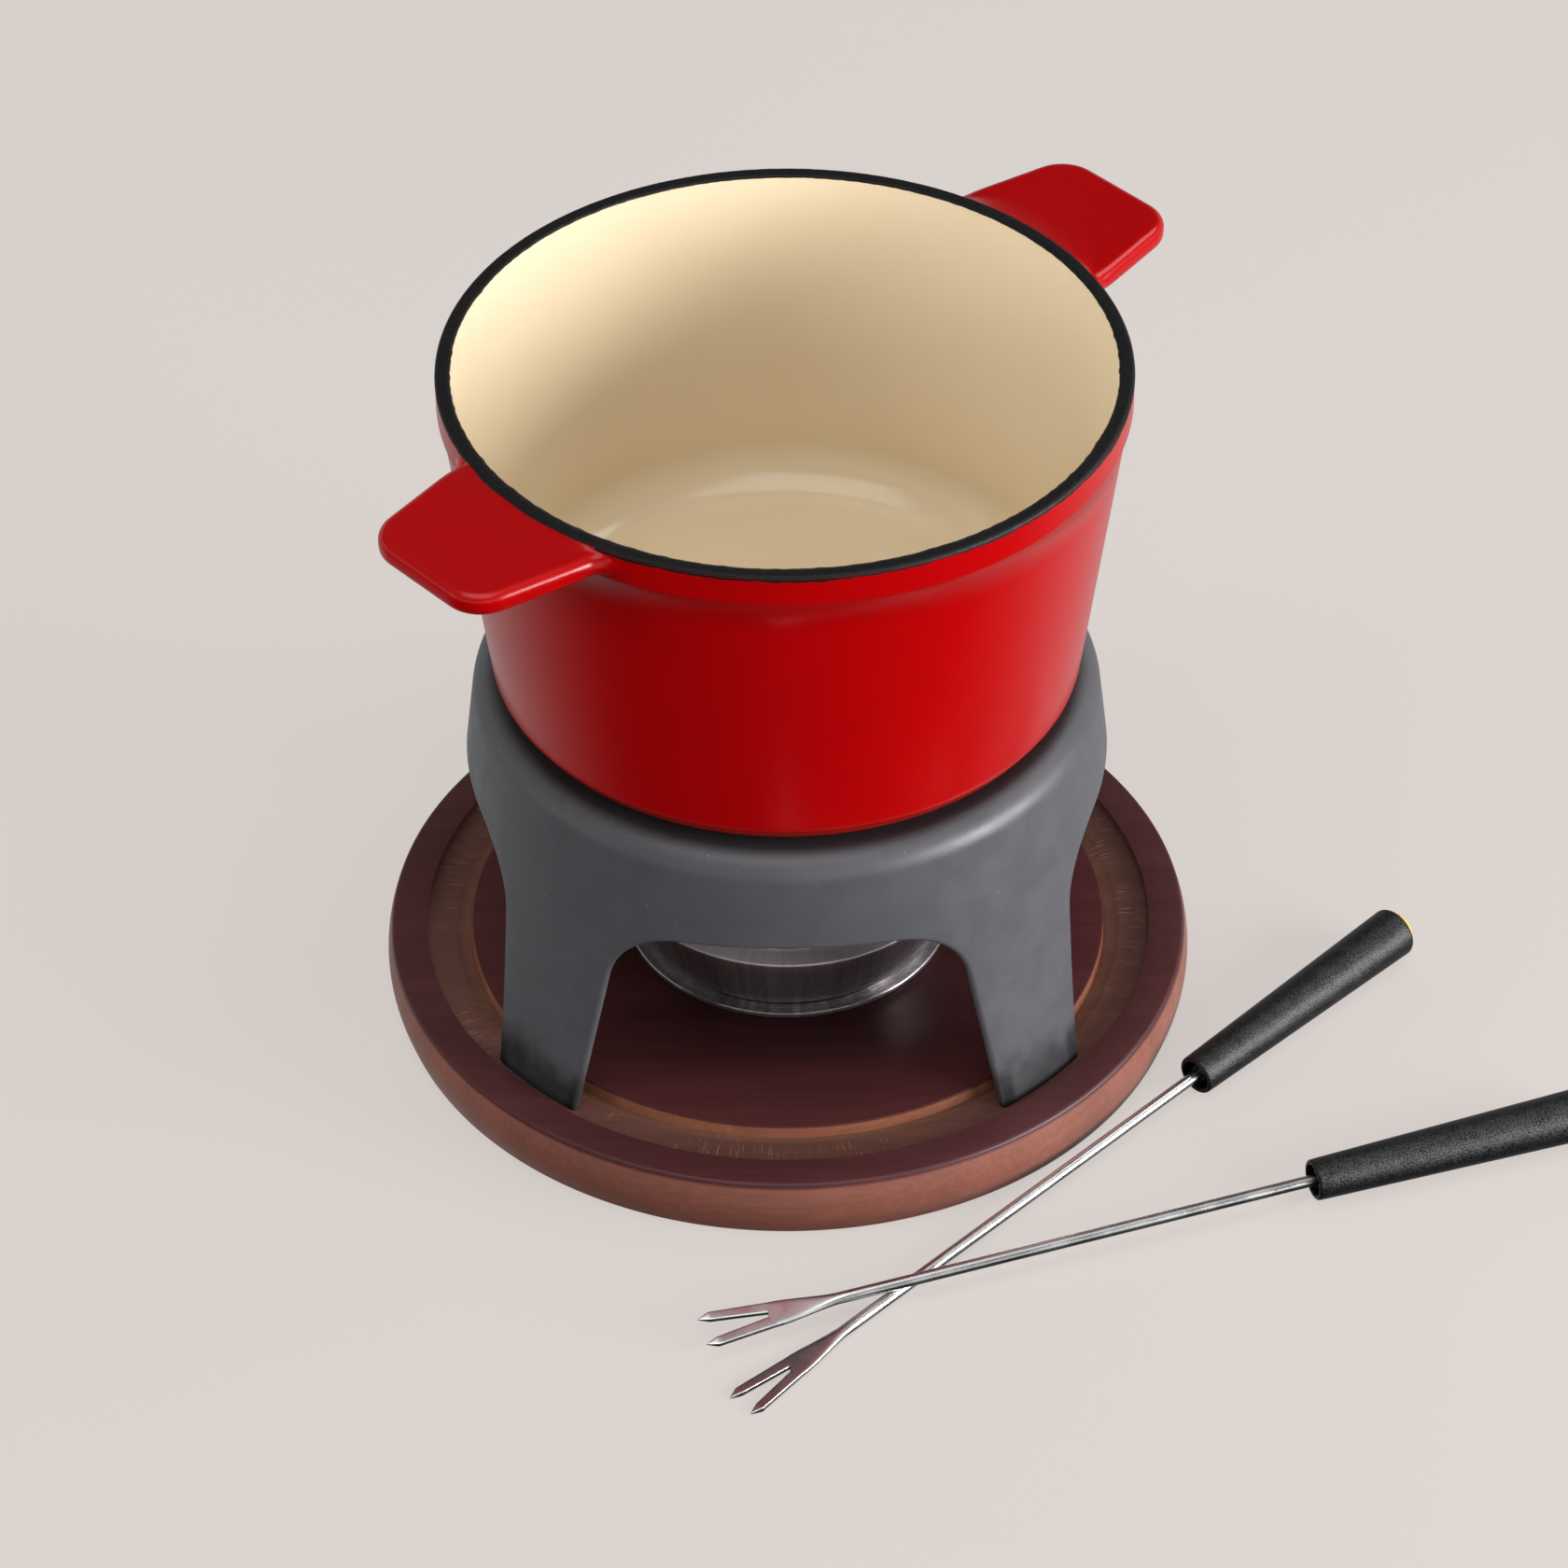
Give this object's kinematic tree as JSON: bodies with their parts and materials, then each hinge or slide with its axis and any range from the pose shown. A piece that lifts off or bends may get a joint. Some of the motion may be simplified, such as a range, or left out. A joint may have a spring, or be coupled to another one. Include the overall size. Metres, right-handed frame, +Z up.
{
  "type": "fondue pot set",
  "caption": "Round two-lug enamelled pot on an arched iron stand and turned wooden tray, with a spirit burner beneath and long two-tined forks lying beside it.",
  "frame": {"origin": "centre of the wooden base's flat underside, on the axis shared by the base, stand, pot and burner", "axes": "+Z up along that shared axis; the front is -Y; the forks lie at the front and right, on the same table"},
  "size_m": [0.3318, 0.2878, 0.205],
  "materials": {
    "stained_wood": "satin stained and lacquered hardwood",
    "grey_enamel": "dark grey semi-matt enamel over cast iron",
    "red_enamel": "high gloss red enamel over cast iron",
    "cream_enamel": "glossy cream vitreous enamel",
    "black_enamel": "matt black speckled enamel",
    "stainless": "drawn and scratched stainless sheet",
    "wadding": "absorbent mineral wadding",
    "steel_gauze": "woven steel gauze",
    "black_plastic": "fine spark-textured black plastic",
    "polished_steel": "polished stainless steel",
    "yellow_plastic": "glossy yellow plastic",
    "blue_plastic": "glossy blue plastic"
  },
  "bodies": {
    "base": {"wooden_base": "stained_wood"},
    "stand": {"stand": "grey_enamel"},
    "pot": {"pot_body": "red_enamel", "pot_lining": "cream_enamel", "pot_rim": "black_enamel"},
    "burner": {"burner_saucer": "stainless", "burner_cup": "stainless", "burner_wadding": "wadding", "burner_gauze": "steel_gauze", "burner_cover": "stainless"},
    "regulator": {"burner_regulator": "stainless", "burner_knob": "black_plastic"},
    "fork_1": {"fork_1_prongs": "polished_steel", "fork_1_handle": "black_plastic", "fork_1_cap": "yellow_plastic"},
    "fork_2": {"fork_2_prongs": "polished_steel", "fork_2_handle": "black_plastic", "fork_2_cap": "blue_plastic"}
  },
  "joints": [
    {"name": "stand_lift", "type": "slide", "parent": "base", "child": "stand", "axis": [0, 0, 1], "range_m": [0, 0.04]},
    {"name": "pot_lift", "type": "slide", "parent": "stand", "child": "pot", "axis": [0, 0, 1], "range_m": [0, 0.08]},
    {"name": "burner_draw", "type": "slide", "parent": "base", "child": "burner", "axis": [-1, 0, 0], "range_m": [0, 0.14]},
    {"name": "regulator_turn", "type": "hinge", "parent": "burner", "child": "regulator", "pos_m": [0, 0, 0.0414], "axis": [0, 0, 1], "range_deg": [0, 15]},
    {"name": "fork_1_lift", "type": "slide", "parent": "base", "child": "fork_1", "axis": [0, 0, 1], "range_m": [0, 0.06]},
    {"name": "fork_2_lift", "type": "slide", "parent": "fork_1", "child": "fork_2", "axis": [0, 0, 1], "range_m": [0, 0.06]}
  ]
}
